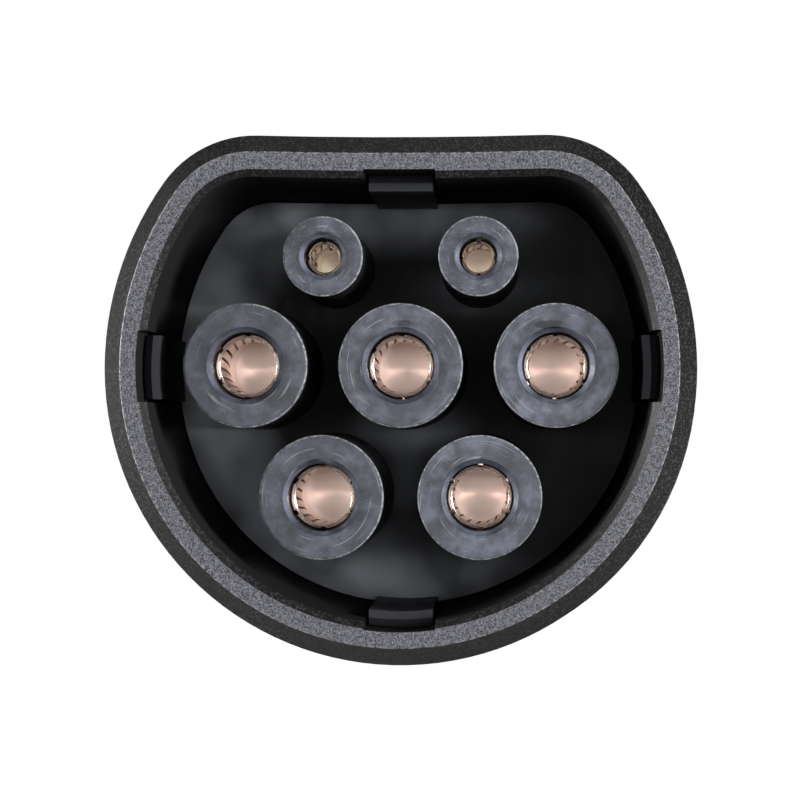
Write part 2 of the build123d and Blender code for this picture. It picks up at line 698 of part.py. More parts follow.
def shell_screws():
    """Screws that pull the two shells together."""
    screw = cap_screw(HEAD_RECESS_FLOOR + INSERT_START + INSERT_LENGTH)
    # the head's underside lies on the recess floor, its shank points to the right shell
    flip = Pos(0, 0, HEAD_RECESS_FLOOR) * Rot(180, 0, 0)
    return Compound(
        children=[shell_screw_axis(*place) * flip * screw for place in shell_screw_places()]
    )


def shell_inserts():
    """Threaded brass inserts in the right shell."""
    insert = upright_rod(INSERT_R - INSERT_GAP, -INSERT_START - INSERT_LENGTH, -INSERT_START)
    insert -= upright_rod(SCREW_HOLE_R, -INSERT_START - INSERT_LENGTH, -INSERT_START)
    return Compound(children=[shell_screw_axis(*place) * insert for place in shell_screw_places()])


def clamp_screw_places():
    """Heights of the two clamp screws, above and below the cable."""
    return [-GLAND_DROP + CLAMP_SCREW_OFFSET, -GLAND_DROP - CLAMP_SCREW_OFFSET]


def clamp_middle():
    """Depth of the middle of the cable clamp."""
    return CLAMP_DEPTH + CLAMP_WIDTH / 2


def clamp_saddle():
    """Cradle for the cable, moulded on the right shell."""
    saddle = block(
        CLAMP_GAP,
        2 * NOSE_R,
        -GLAND_DROP - CLAMP_HALF,
        -GLAND_DROP + CLAMP_HALF,
        CLAMP_DEPTH,
        CLAMP_DEPTH + CLAMP_WIDTH,
    )
    saddle -= gland_axis() * rod(CLAMP_CRADLE_R, CLAMP_DEPTH, CLAMP_DEPTH + CLAMP_WIDTH)
    for height in clamp_screw_places():
        axis = shell_screw_axis(clamp_middle(), height)
        saddle -= axis * upright_rod(SCREW_HOLE_R, -CLAMP_SCREW_GRIP - HOLE_RUNOUT, 0)
    return saddle


def cable_clamp():
    """Bar that presses the cable into the saddle."""
    bar = block(
        -CLAMP_GAP - CLAMP_THICKNESS,
        -CLAMP_GAP,
        -GLAND_DROP - CLAMP_HALF,
        -GLAND_DROP + CLAMP_HALF,
        CLAMP_DEPTH,
        CLAMP_DEPTH + CLAMP_WIDTH,
    )
    bar = fillet(bar.edges().filter_by(Axis.Z).group_by(Axis.X)[0], CLAMP_CORNER)
    bar -= gland_axis() * rod(CLAMP_CRADLE_R, CLAMP_DEPTH, CLAMP_DEPTH + CLAMP_WIDTH)
    for height in clamp_screw_places():
        axis = shell_screw_axis(clamp_middle(), height)
        bar -= axis * upright_rod(SCREW_CLEARANCE_R, 0, 2 * NOSE_R)
        bar -= axis * upright_rod(SCREW_HEAD_R + HEAD_GAP, clamp_seat(), 2 * NOSE_R)
    return bar


def clamp_seat():
    """Split plane to the seat of the clamp screws' heads."""
    return CLAMP_GAP + CLAMP_SEAT


def clamp_screws():
    """Two screws of the cable clamp."""
    screw = cap_screw(clamp_seat() + CLAMP_SCREW_GRIP)
    flip = Pos(0, 0, clamp_seat()) * Rot(180, 0, 0)
    return Compound(
        children=[
            shell_screw_axis(clamp_middle(), height) * flip * screw
            for height in clamp_screw_places()
        ]
    )


def gland_flange(gap):
    """Six-sided flange of the gland body, which the shells keep from turning."""
    front = HANDLE_REAR - REAR_WALL - FLANGE_WIDTH
    return extrude(
        Pos(0, 0, -(front - gap)) * RegularPolygon(FLANGE_R + gap, 6),
        amount=-(FLANGE_WIDTH + gap),
    )


def gland_body():
    """Gland body: flange inside the shells, neck through their end wall, threaded outer end."""
    flange_front = HANDLE_REAR - REAR_WALL - FLANGE_WIDTH
    end = HANDLE_REAR + THREAD_LENGTH
    body = gland_flange(0) + rod(NECK_R, flange_front, end)
    body -= turned(
        (0, flange_front),
        (CABLE_R + SEAL_FLARE, flange_front),
        (CABLE_R + SEAL_FLARE, HANDLE_REAR),
        (GLAND_BORE_R, HANDLE_REAR + GLAND_STEP),
        (GLAND_BORE_R, end),
        (0, end),
    )
    return gland_axis() * body


def gland_seal():
    """Rubber sleeve that grips the cable inside the gland."""
    front = HANDLE_REAR + SEAL_START
    end = HANDLE_REAR + THREAD_LENGTH + SEAL_PROUD
    outer_r = GLAND_BORE_R - SEAL_SQUEEZE
    return gland_axis() * turned(
        (CABLE_R, front),
        (outer_r, front),
        (outer_r, HANDLE_REAR + THREAD_LENGTH),
        (outer_r + SEAL_FLARE, HANDLE_REAR + THREAD_LENGTH + SEAL_FLARE),
        (outer_r + SEAL_FLARE, end),
        (CABLE_R, end),
    )


def gland_nut():
    """Fluted cap nut that squeezes the gland seal."""
    front = HANDLE_REAR + NUT_START
    end = front + NUT_LENGTH
    thread_end = HANDLE_REAR + THREAD_LENGTH + GLAND_GAP
    seat = HANDLE_REAR + THREAD_LENGTH + SEAL_PROUD + SEAL_SQUEEZE
    seat_r = GLAND_BORE_R + SEAL_FLARE + GLAND_GAP
    body = turned(
        (0, front),
        (NUT_R, front),
        (NUT_R, seat - NUT_CONE_START),
        (NUT_R - NUT_CONE_INSET, end),
        (0, end),
    )
    flute = Pos(NUT_R + FLUTE_OUTSET, 0) * rod(FLUTE_R, front + FLUTE_START, seat)
    for index in range(NUT_FLUTES):
        body -= Rot(0, 0, 360 * index / NUT_FLUTES) * flute
    body -= turned(
        (0, front),
        (NECK_R + GLAND_GAP, front),
        (NECK_R + GLAND_GAP, thread_end),
        (seat_r, thread_end + NUT_STEP),
        (seat_r, seat),
        (NUT_MOUTH_R, seat),
        (NUT_MOUTH_R, end),
        (0, end),
    )
    return gland_axis() * body


def save(name, piece):
    """Turn a piece so that the nose points along -Y, and write it."""
    export_step(Rot(90, 0, 0) * piece, f"parts/{name}.step")


def main():
    os.makedirs("parts", exist_ok=True)
    save("nose_shroud", nose_shroud())
    save("contact_carrier", contact_carrier())
    save("carrier_gasket", carrier_gasket())
    save("collar_seal", collar_seal())
    power = socket_contact(
        POWER_SOCKET_R,
        POWER_SLEEVE_R,
        POWER_COLLAR_R,
        POWER_SHANK_R,
        POWER_CUP_R,
        POWER_SLOTS,
        POWER_SLOT_WIDTH,
    )
    pilot = socket_contact(
        PILOT_SOCKET_R,
        PILOT_SLEEVE_R,
        PILOT_COLLAR_R,
        PILOT_SHANK_R,
        PILOT_CUP_R,
        PILOT_SLOTS,
        PILOT_SLOT_WIDTH,
    )
    power_tube = insulating_tube(POWER_TUBE_R, POWER_MOUTH_R, POWER_BEVEL, POWER_SLEEVE_R)
    pilot_tube = insulating_tube(PILOT_TUBE_R, PILOT_MOUTH_R, PILOT_BEVEL, PILOT_SLEEVE_R)
    kinds = (
        (POWER_CONTACTS, power, power_tube, POWER_SLEEVE_R, POWER_COLLAR_R),
        (PILOT_CONTACTS, pilot, pilot_tube, PILOT_SLEEVE_R, PILOT_COLLAR_R),
    )
    for places, contact, tube, sleeve_r, collar_r in kinds:
        for name, (x, y) in places.items():
            save(f"contact_{name}", Pos(x, y) * contact)
            save(f"tube_{name}", Pos(x, y) * tube)
            save(f"spring_ring_{name}", Pos(x, y) * spring_ring(sleeve_r))
            save(f"oring_{name}", Pos(x, y) * contact_oring(collar_r))
    save("contact_retainer", contact_retainer())
    save("retainer_screws", retainer_screws())
    save("coding_resistor", coding_resistor())
    left, right = handle_shells()
    save("handle_shell_left", left)
    save("handle_shell_right", right)
    save("shell_screws", shell_screws())
    save("shell_inserts", shell_inserts())
    save("cable_clamp", cable_clamp())
    save("clamp_screws", clamp_screws())
    save("gland_body", gland_body())
    save("gland_seal", gland_seal())
    save("gland_nut", gland_nut())


main()
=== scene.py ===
import json
import math

import bpy
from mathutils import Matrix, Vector


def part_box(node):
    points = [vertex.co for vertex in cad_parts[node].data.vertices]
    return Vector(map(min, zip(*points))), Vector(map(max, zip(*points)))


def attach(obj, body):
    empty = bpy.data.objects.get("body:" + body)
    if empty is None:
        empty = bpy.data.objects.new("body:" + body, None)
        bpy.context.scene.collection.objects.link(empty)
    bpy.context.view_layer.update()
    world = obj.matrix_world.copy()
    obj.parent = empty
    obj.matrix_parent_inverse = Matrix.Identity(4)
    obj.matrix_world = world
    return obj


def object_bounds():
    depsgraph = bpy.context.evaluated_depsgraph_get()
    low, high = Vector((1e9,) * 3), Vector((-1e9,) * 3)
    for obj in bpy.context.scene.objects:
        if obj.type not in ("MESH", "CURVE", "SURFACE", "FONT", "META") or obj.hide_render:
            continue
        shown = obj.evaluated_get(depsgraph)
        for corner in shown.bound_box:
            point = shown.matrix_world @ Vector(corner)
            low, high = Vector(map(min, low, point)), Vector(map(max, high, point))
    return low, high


MM = 0.001
MOUTH_GROWTH = 0.35 * MM    # a tube's mouth is this much wider in radius than the socket's bore
TUBE_DRAFT = 0.15 * MM      # a tube's foot is this much wider in radius than its face
SOCKET_FLOOR = 32.9 * MM    # rim to the flat floor of the sockets
FLOOR_START = 33 * MM       # the cavity's floor is deeper than both of these, the rest less deep
FLOOR_SURE = 33.6 * MM
POWER_BORE = 2 * MM         # a socket with a larger radius takes a power pin
POWER_TUBE = 5 * MM         # a tube with a larger radius stands round a power contact

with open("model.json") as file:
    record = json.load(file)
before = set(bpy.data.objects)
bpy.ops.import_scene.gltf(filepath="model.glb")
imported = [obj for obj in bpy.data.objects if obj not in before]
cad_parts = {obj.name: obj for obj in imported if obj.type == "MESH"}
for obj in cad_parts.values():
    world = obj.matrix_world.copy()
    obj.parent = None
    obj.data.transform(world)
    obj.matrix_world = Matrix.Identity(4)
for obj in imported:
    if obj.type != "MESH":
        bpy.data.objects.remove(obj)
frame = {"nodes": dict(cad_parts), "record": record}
cad_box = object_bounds()
nodes = frame["nodes"]
slot_of = {part["node"]: part["material_slot"] for part in frame["record"]["subparts"]}

scene = bpy.context.scene
scene.view_settings.view_transform = "Standard"


# ------------------------------------------------------------------ shader helpers
class Graph:
    """A node tree, with short names for the nodes that fill it."""

    def __init__(self, tree):
        self.tree = tree
        self.coord = self.node("TexCoord")

    def node(self, kind, **values):
        made = self.tree.nodes.new("ShaderNode" + kind)
        for key, value in values.items():
            setattr(made, key, value)
        return made

    def link(self, source, target):
        self.tree.links.new(source, target)

    def feed(self, value, socket):
        """Sets a number or a colour on a socket, or links an output to it."""
        if isinstance(value, tuple):
            socket.default_value = (*value, 1)
        elif isinstance(value, (int, float)):
            socket.default_value = value
        else:
            self.link(value, socket)

    def noise(self, scale, detail=3.0, rough=0.5, stretch=None, source=None):
        """Noise on a vector, or else on the object's own coordinates, stretched or not."""
        tex = self.node("TexNoise")
        tex.inputs["Scale"].default_value = scale
        tex.inputs["Detail"].default_value = detail
        tex.inputs["Roughness"].default_value = rough
        vector = source or self.coord.outputs["Object"]
        if stretch:
            place = self.node("Mapping")
            place.inputs["Scale"].default_value = stretch
            self.link(vector, place.inputs["Vector"])
            vector = place.outputs["Vector"]
        self.link(vector, tex.inputs["Vector"])
        return tex.outputs["Fac"]

    def ramp(self, value, low, high, out_low=0.0, out_high=1.0):
        """Linear map of value from low..high to out_low..out_high, clamped."""
        span = self.node("MapRange")
        span.inputs["From Min"].default_value = low
        span.inputs["From Max"].default_value = high
        span.inputs["To Min"].default_value = out_low
        span.inputs["To Max"].default_value = out_high
        self.link(value, span.inputs["Value"])
        return span.outputs["Result"]

    def math(self, operation, first, second):
        made = self.node("Math", operation=operation)
        self.feed(first, made.inputs[0])
        self.feed(second, made.inputs[1])
        return made.outputs["Value"]

    def vector(self, operation, source, constant=None):
        """Vector Math node on a source, with a constant second operand where it takes one."""
        made = self.node("VectorMath", operation=operation)
        if constant:
            made.inputs[1].default_value = constant
        self.link(source, made.inputs[0])
        return made

    def mix(self, factor, first, second):
        """First colour at factor 0, second at factor 1."""
        made = self.node("Mix", data_type="RGBA")
        self.feed(factor, made.inputs[0])
        self.feed(first, made.inputs[6])
        self.feed(second, made.inputs[7])
        return made.outputs[2]

    def pick(self, switch, off, on):
        """Number off where the switch is 0, on where it is 1."""
        made = self.node("Mix")
        self.feed(switch, made.inputs[0])
        self.feed(off, made.inputs[2])
        self.feed(on, made.inputs[3])
        return made.outputs[0]

    def split(self, source):
        """The x, y and z of a vector."""
        made = self.node("SeparateXYZ")
        self.link(source, made.inputs["Vector"])
        return made.outputs

    def position(self):
        """Object coordinates split into x, y and z, in metres."""
        return self.split(self.coord.outputs["Object"])


class Shader(Graph):
    """A Principled material and the nodes that feed it."""

    def __init__(self, name, color, rough, metal=0.0):
        self.mat = bpy.data.materials.new(name)
        self.mat.use_nodes = True
        super().__init__(self.mat.node_tree)
        self.bsdf = self.tree.nodes["Principled BSDF"]
        self.bsdf.inputs["Base Color"].default_value = (*color, 1)
        self.bsdf.inputs["Roughness"].default_value = rough
        self.bsdf.inputs["Metallic"].default_value = metal

    def color(self, value):
        self.link(value, self.bsdf.inputs["Base Color"])

    def rough(self, value):
        self.link(value, self.bsdf.inputs["Roughness"])

    def bump(self, height, distance):
        made = self.node("Bump")
        made.inputs["Distance"].default_value = distance
        made.inputs["Strength"].default_value = 1.0
        self.link(height, made.inputs["Height"])
        self.link(made.outputs["Normal"], self.bsdf.inputs["Normal"])


# ------------------------------------------------------------------ places on the nose
def facing_front(s):
    """How squarely the surface faces the mating direction: 1 in front, 0 on flanks, -1 behind."""
    where = s.node("NewGeometry")
    return s.math("MULTIPLY", s.split(where.outputs["Normal"])["Y"], -1.0)


def across_axis(s, source):
    """The part of a vector that lies across the nose's axis."""
    return s.vector("MULTIPLY", source, (1, 0, 1)).outputs["Vector"]


def about_contact(s, centre):
    """Distance from a contact's axis, and the direction away from it."""
    local = s.node("Mapping")
    local.inputs["Location"].default_value = (-centre[0], 0, -centre[1])
    s.link(s.coord.outputs["Object"], local.inputs["Vector"])
    flat = across_axis(s, local.outputs["Vector"])
    radius = s.vector("LENGTH", flat).outputs["Value"]
    return radius, s.vector("NORMALIZE", flat).outputs["Vector"]


def oval(s, centre, reach):
    """Distance from centre x and z, as a share of the reach in x and z: 1 on the oval's edge."""
    place = s.node("Mapping", vector_type="TEXTURE")
    place.inputs["Location"].default_value = (centre[0], 0, centre[1])
    place.inputs["Scale"].default_value = (reach[0], 1, reach[1])
    s.link(s.coord.outputs["Object"], place.inputs["Vector"])
    flat = across_axis(s, place.outputs["Vector"])
    return s.vector("LENGTH", flat).outputs["Value"]


def outwardness(s):
    """How far the surface faces away from the nose's own axis: 1 outside, -1 on the cavity's walls."""
    where = s.node("NewGeometry")
    unit = s.vector("NORMALIZE", across_axis(s, s.coord.outputs["Object"]))
    away = s.vector("DOT_PRODUCT", unit.outputs["Vector"])
    s.link(where.outputs["Normal"], away.inputs[1])
    return away.outputs["Value"]


def outward_edge(s):
    """1 along the rim's outer edge, in a line a tenth of a millimetre deep, where a painted edge highlight
    goes.
    """
    line = s.ramp(s.position()["Y"], 0.14 * MM, 0.08 * MM)
    return s.math("MULTIPLY", s.ramp(outwardness(s), 0.05, 0.2), line)


def shaded_cavity_walls(s):
    """1 on walls that face the nose's own axis behind the rim, 0 elsewhere: where the painted shade goes.
    """
    turned = s.ramp(outwardness(s), -0.2, -0.6)
    deep = s.ramp(s.position()["Y"], 0.9 * MM, 1.6 * MM)
    return s.math("MULTIPLY", turned, deep)


def on_floor(s):
    """1 on the cavity's floor, 0 in front of it."""
    return s.ramp(s.position()["Y"], FLOOR_START, FLOOR_SURE)


# ------------------------------------------------------------------ plastics and rubber
EDGE_HIGHLIGHT = (0.26, 0.26, 0.28)
# Painted shade of the cavity's walls.
CAVITY_SHADE = (0.011, 0.0115, 0.012)
TONGUE_TIP_LIGHT = (0.05, 0.052, 0.06)
# Colour of the painted light on the cavity's floor.
FLOOR_LIGHT = (0.62, 0.66, 0.74)


def eroded_plastic(name, dark, light, face, rough, grain):
    """Spark-eroded moulded plastic: speckled, matt on its flanks; the rim in front is paler, which is a
    painted sheen.
    """
    s = Shader(name, dark, rough)
    fine = s.noise(1 / grain, 2.5, 0.7)
    coarse = s.noise(1 / (2.7 * grain), 2)
    cloud = s.noise(1 / (9 * MM), 2)
    speckle = s.math("ADD", s.math("MULTIPLY", fine, 0.75), s.math("MULTIPLY", coarse, 0.25))
    speckle = s.ramp(speckle, 0.42, 0.6)
    sparse = s.ramp(s.noise(1 / (1.3 * grain), 2.5, 0.75, stretch=(1.0, 0.3, 1.0)), 0.5, 0.68)
    body = s.mix(s.math("MULTIPLY", sparse, s.ramp(cloud, 0.3, 0.7, 0.5, 1.0)), dark, light)
    # The rim's colour is a painted sheen: the front-facing land as a lit copy of the same plastic.
    rim = s.mix(s.ramp(speckle, 0, 1, 0.05, 0.95), dark, face)

    front = facing_front(s)
    # Painted sheen where the surface faces front, darker body on the flanks.
    surface = s.mix(s.ramp(front, 0.9, 0.97), body, rim)
    # Pale broken line along the rim's outer edge: a painted highlight of the rounded edge.
    edge_glint = s.math("MULTIPLY", s.ramp(front, 0.9, 0.97, 1.0, 0.0), s.ramp(coarse, 0.4, 0.6, 0.2, 1.0))
    surface = s.mix(s.math("MULTIPLY", edge_glint, outward_edge(s)), surface, EDGE_HIGHLIGHT)
    inside = shaded_cavity_walls(s)
    # The cavity's walls are painted near black: painted shade in the deep recess.
    s.color(s.mix(inside, surface, CAVITY_SHADE))

    flank = s.ramp(s.math("ABSOLUTE", front, 0), 0.08, 0.3, 1.0, 0.0)
    grained = s.ramp(speckle, 0, 1, rough + 0.06, rough - 0.1)
    s.rough(s.math("MAXIMUM", grained, s.math("MULTIPLY", flank, 0.85)))
    shine = s.math("MINIMUM", s.ramp(inside, 0, 1, 0.5, 0.15), s.ramp(flank, 0, 1, 0.5, 0.12))
    s.link(shine, s.bsdf.inputs["Specular IOR Level"])
    s.bump(fine, 0.03 * MM)
    return s.mat


def painted_light_patch(s, x, z, reach_x, reach_z, level):
    """Blurred oval of painted light on the cavity's floor, in millimetres, broken up by slow noise."""
    soft = s.node("MapRange", interpolation_type="SMOOTHERSTEP")
    soft.inputs["From Min"].default_value = 1.0
    soft.inputs["From Max"].default_value = 0.0
    soft.inputs["To Max"].default_value = level
    s.link(oval(s, (x * MM, z * MM), (reach_x * MM, reach_z * MM)), soft.inputs["Value"])
    slow = s.ramp(s.noise(1 / (5 * MM), 1.5), 0.35, 0.65, 0.55, 1.0)
    return s.math("MULTIPLY", soft.outputs["Result"], s.math("MULTIPLY", slow, on_floor(s)))


def cavity_share(s, place):
    """Distance from the nose's axis as a share of the D-shaped cavity's reach: 1 at its wall."""
    across = s.math("ABSOLUTE", s.math("DIVIDE", place["X"], 25.5 * MM), 0)
    above = s.math("DIVIDE", s.math("MAXIMUM", place["Z"], 0), 20.5 * MM)
    below = s.math("DIVIDE", s.math("MINIMUM", place["Z"], 0), 25.5 * MM)
    upper = s.math("POWER", s.math("ADD", s.math("POWER", across, 3), s.math("POWER", above, 3)), 1 / 3)
    lower = s.math("POWER", s.math("ADD", s.math("POWER", across, 2), s.math("POWER", below, 2)), 0.5)
    return s.math("MAXIMUM", upper, lower)


def painted_wall_light(s):
    """Painted light that follows the D-shaped wall of the cavity's floor, strongest on the left."""
    place = s.position()
    share = cavity_share(s, place)
    band = s.math("MULTIPLY", s.ramp(share, 0.6, 0.88), s.ramp(share, 0.9, 1.04, 1.0, 0.35))
    side = s.ramp(place["X"], -10 * MM, 18 * MM, 0.95, 0.05)
    slow = s.ramp(s.noise(1 / (7 * MM), 1.0), 0.35, 0.62, 0.35, 1.0)
    return s.math("MULTIPLY", s.math("MULTIPLY", band, side), s.math("MULTIPLY", slow, on_floor(s)))


def smooth_plastic(name, dark, light, rough, shine=0.5, light_patches=()):
    """Smooth moulded plastic with faint scuffs; light_patches lists the patches of painted light on a
    cavity's floor.
    """
    s = Shader(name, dark, rough)
    cloud = s.noise(1 / (2.2 * MM), 3, 0.6)
    scuff = s.noise(1 / (0.5 * MM), 4, 0.7, stretch=(1.0, 0.4, 0.35))
    tone = s.math("ADD", s.ramp(cloud, 0.35, 0.7, 0, 0.6), s.ramp(scuff, 0.5, 0.75, 0, 0.4))
    surface = s.mix(tone, dark, light)
    if light_patches:
        # Paler near the rim and darker deeper in: painted light on the tongues near the mouth.
        near_rim = s.ramp(s.position()["Y"], 10 * MM, 14 * MM, 0.6, 0.0)
        surface = s.mix(near_rim, surface, TONGUE_TIP_LIGHT)
        # Patches of painted light along the floor's wall and on the floor.
        surface = s.mix(painted_wall_light(s), surface, FLOOR_LIGHT)
    for patch in light_patches:
        surface = s.mix(painted_light_patch(s, *patch), surface, FLOOR_LIGHT)
    s.color(surface)
    s.rough(s.ramp(scuff, 0.3, 0.75, rough - 0.04, rough + 0.1))
    s.bsdf.inputs["Specular IOR Level"].default_value = shine
    s.bump(scuff, 0.003 * MM)
    return s.mat


def rubber(name, dark, light):
    """Matt rubber with a fine mottle."""
    s = Shader(name, dark, 0.75)
    fine = s.noise(1 / (0.4 * MM), 4, 0.6)
    s.color(s.mix(fine, dark, light))
    s.bump(fine, 0.02 * MM)
    return s.mat


# ------------------------------------------------------------------ insulating tubes
TUBE_DARK = (0.009, 0.01, 0.013)
TUBE_WORN = (0.4, 0.4, 0.42)
TUBE_BLUE = (0.172, 0.188, 0.245)


def mouth_dark_mark(s, centre, x, z, reach):
    """Dark mark beside a tube's mouth, x and z away from its axis, in millimetres."""
    middle = (centre[0] + x * MM, centre[1] + z * MM)
    share = oval(s, middle, (reach * MM, 0.3 * reach * MM))
    ragged = s.math("ADD", share, s.noise(1 / (0.4 * MM), 3, 0.6))
    return s.ramp(ragged, 1.1, 1.45, 0.3, 0.0)


def ring_scratches(s, radius, away, seed):
    """Sparse scratches that run round a tube's axis."""
    ring = s.node("CombineXYZ")
    s.link(s.math("MULTIPLY", radius, 1 / (0.16 * MM)), ring.inputs["Y"])
    swirl = s.vector("MULTIPLY_ADD", away, (1.6, 0, 1.6))
    s.link(ring.outputs["Vector"], swirl.inputs[2])
    place = s.node("Mapping")
    place.inputs["Location"].default_value = (3.0, 3.0, seed)
    s.link(swirl.outputs["Vector"], place.inputs["Vector"])
    drawn = s.noise(0.8, 1.0, source=place.outputs["Vector"])
    return s.ramp(drawn, 0.66, 0.74, 0, 0.35)


def tube_tone(s, mottle, fine, radius, side_share, bevel, mouth_r):
    """How pale a tube's face is: mottled, darker above and below the mouth, with a painted highlight on the
    left and right of its bevel.
    """
    halo_edge = s.math("ADD", radius, s.math("MULTIPLY", mottle, 1.6 * MM))
    halo = s.ramp(halo_edge, mouth_r + 1.2 * MM, mouth_r + 2.5 * MM, 0.3, 1.0)
    halo = s.math("MAXIMUM", halo, s.ramp(side_share, 0.1, 0.6, 1.0, 0.0))
    broad = s.ramp(s.noise(1 / (3.4 * MM), 2, 0.5), 0.38, 0.6, 0.62, 1.12)
    tone = s.math("MULTIPLY", s.ramp(mottle, 0.38, 0.6, 0.22, 0.5), halo)
    tone = s.math("MULTIPLY", s.math("MAXIMUM", tone, bevel), broad)
    return s.math("MULTIPLY", tone, s.ramp(fine, 0.3, 0.7, 0.85, 1.12))


def worn_tube(s, surface, scratch, radius, outer_r):
    """A tube's face with its pale scratches, burred outer edge and specks."""
    surface = s.mix(scratch, surface, TUBE_WORN)
    edge = s.ramp(radius, outer_r - 0.22 * MM, outer_r - 0.08 * MM)
    broken = s.ramp(s.noise(1 / (0.4 * MM), 4, 0.65), 0.42, 0.6, 0.12, 0.9)
    surface = s.mix(s.math("MULTIPLY", edge, broken), surface, TUBE_WORN)
    burr = 0.7 if outer_r > POWER_TUBE else 0.66
    specks = s.ramp(s.noise(1 / (0.16 * MM), 1.5, 0.6), burr, burr + 0.08, 0.0, 0.45)
    return s.mix(specks, surface, TUBE_WORN)


def tube_plastic(name, centre, outer_r, mouth_r, seed, mark=None):
    """Insulating tube: scuffed bluish face, a little paler the further right the tube stands, which is
    painted light; its sides are painted shade.
    """
    # Painted light: the tubes further right are paler.
    right_light = 0.9 + 13 * centre[0]
    s = Shader(name, TUBE_DARK, 0.42)
    radius, away = about_contact(s, centre)
    mottle = s.noise(1 / (1.7 * MM), 4, 0.62)
    fine = s.noise(1 / (0.22 * MM), 3, 0.6)
    side_share = s.math("POWER", s.math("ABSOLUTE", s.split(away)["X"], 0), 3)
    # The bevel is brighter at its left and right: a painted highlight.
    bevel = s.ramp(radius, mouth_r + 0.42 * MM, mouth_r + 0.5 * MM, 1.0, 0.0)
    bevel = s.math("MULTIPLY", bevel, s.ramp(side_share, 0, 1, 0.16, 1.0))
    tone = tube_tone(s, mottle, fine, radius, side_share, bevel, mouth_r)
    if mark:
        tone = s.math("SUBTRACT", tone, mouth_dark_mark(s, centre, *mark))
    surface = s.mix(tone, TUBE_DARK, tuple(part * right_light for part in TUBE_BLUE))
    scratch = ring_scratches(s, radius, away, seed)
    surface = worn_tube(s, surface, scratch, radius, outer_r)
    # Sides that don't face front take the dark colour: painted shade, with the face as a lit copy of the
    # same plastic.
    s.color(s.mix(s.ramp(facing_front(s), 0.2, 0.6), TUBE_DARK, surface))
    face_rough = s.ramp(mottle, 0.3, 0.7, 0.34, 0.5)
    s.rough(s.math("SUBTRACT", face_rough, s.math("MULTIPLY", bevel, 0.16)))
    s.bump(s.math("ADD", fine, s.math("MULTIPLY", scratch, 2.0)), 0.008 * MM)
    return s.mat


# ------------------------------------------------------------------ metals
SLOT_FRONT_SHADE = (0.02, 0.018, 0.018)
SLOT_DEEP_SHADE = (0.3, 0.17, 0.12)
TIN = (0.93, 0.84, 0.78)


def turn_grooves(s, away, floor_zone):
    """Lathe grooves round the contact's axis: stretched shine on the flat floor, level normal there."""
    across = s.vector("ADD", away, (0, 1, 0))
    s.link(across.outputs["Vector"], s.bsdf.inputs["Tangent"])
    s.link(s.ramp(floor_zone, 0, 1, 0.0, 0.78), s.bsdf.inputs["Anisotropic"])
    where = s.node("NewGeometry")
    level = s.node("Mix", data_type="VECTOR")
    level.inputs[5].default_value = (0, -1, 0)
    s.link(floor_zone, level.inputs[0])
    s.link(where.outputs["Normal"], level.inputs[4])
    s.link(level.outputs[1], s.bsdf.inputs["Normal"])


def socket_metal(name, dark, light, centre, bore_r):
    """Turned copper alloy of one contact, painted dark outside the bore as painted shade and the painted
    reflection of the black tube.
    """
    s = Shader(name, dark, 0.2, 1.0)
    radius, away = about_contact(s, centre)
    depth = s.position()["Y"]
    floor_zone = s.ramp(depth, SOCKET_FLOOR - 0.4 * MM, SOCKET_FLOOR)
    cloud = s.noise(1 / (0.9 * MM), 3, 0.6)
    tone = s.mix(s.ramp(cloud, 0.35, 0.65), dark, light)
    tone = s.mix(floor_zone, tone, light)
    # Lead-in and slots outside the bore: painted shade, browner further in, and on the lead-in the painted
    # reflection of the black tube round it.
    outside = s.ramp(radius, bore_r + 0.1 * MM, bore_r + 0.16 * MM)
    slot_shade = s.mix(s.ramp(depth, 9.2 * MM, 11 * MM), SLOT_FRONT_SHADE, SLOT_DEEP_SHADE)
    s.color(s.mix(outside, tone, slot_shade))
    wall_rough = s.ramp(depth, 20 * MM, 25 * MM, 0.42, 0.12)
    s.rough(s.math("MAXIMUM", wall_rough, s.ramp(floor_zone, 0, 1, 0.0, 0.44)))
    turn_grooves(s, away, floor_zone)
    return s.mat


def turned_metal(name, dark, light, rough):
    """Plain turned or rolled metal with a faint mottle."""
    s = Shader(name, dark, rough, 1.0)
    cloud = s.noise(1 / (0.8 * MM), 3, 0.6)
    s.color(s.mix(s.ramp(cloud, 0.35, 0.65), dark, light))
    s.rough(s.ramp(cloud, 0.3, 0.7, rough - 0.05, rough + 0.08))
    s.bump(s.noise(1 / (0.15 * MM), 2), 0.004 * MM)
    return s.mat


def basket_metal(name, color):
    """Spring metal of a basket, bright tinned at its front band."""
    s = Shader(name, color, 0.2, 1.0)
    paler = tuple(min(1, part * 1.12) for part in color)
    body = s.mix(s.ramp(s.noise(1 / (0.5 * MM), 2), 0.35, 0.65), color, paler)
    s.color(s.mix(s.ramp(s.position()["Y"], 9.8 * MM, 10.2 * MM), TIN, body))
    s.rough(s.ramp(s.noise(1 / (0.3 * MM), 2), 0.35, 0.65, 0.14, 0.24))
    return s.mat


# ------------------------------------------------------------------ finish of the CAD pieces
# Patches of painted light on the cavity's floor.
FLOOR_LIGHT_PATCHES = (              # x and z of each pale patch and its reach in x and z, in mm; its strength
    (7.5, 9.5, 11.0, 4.5, 0.3),
    (0.5, -6.0, 9.0, 5.0, 0.5),
    (-19.0, -6.0, 7.0, 9.0, 0.2),
    (0.0, -12.0, 4.5, 6.0, 0.4),
)
MOUTH_DARK_MARKS = {              # x and z from the tube's axis, and reach, in mm
    "earth": (0.2, 4.3, 1.3),
    "neutral": (-0.8, 4.15, 1.8),
    # The control pilot's mark is a painted shadow of its mouth's edge.
    "control_pilot": (0.0, 2.4, 0.9),
}
COPPER = ((0.8, 0.53, 0.43), (0.93, 0.75, 0.67))
BRASS = ((0.88, 0.71, 0.55), (0.98, 0.86, 0.73))
HANDLE_DARK = (0.012, 0.012, 0.013)
HANDLE_LIGHT = (0.04, 0.04, 0.043)
GLAND_LIGHT = (0.035, 0.035, 0.038)

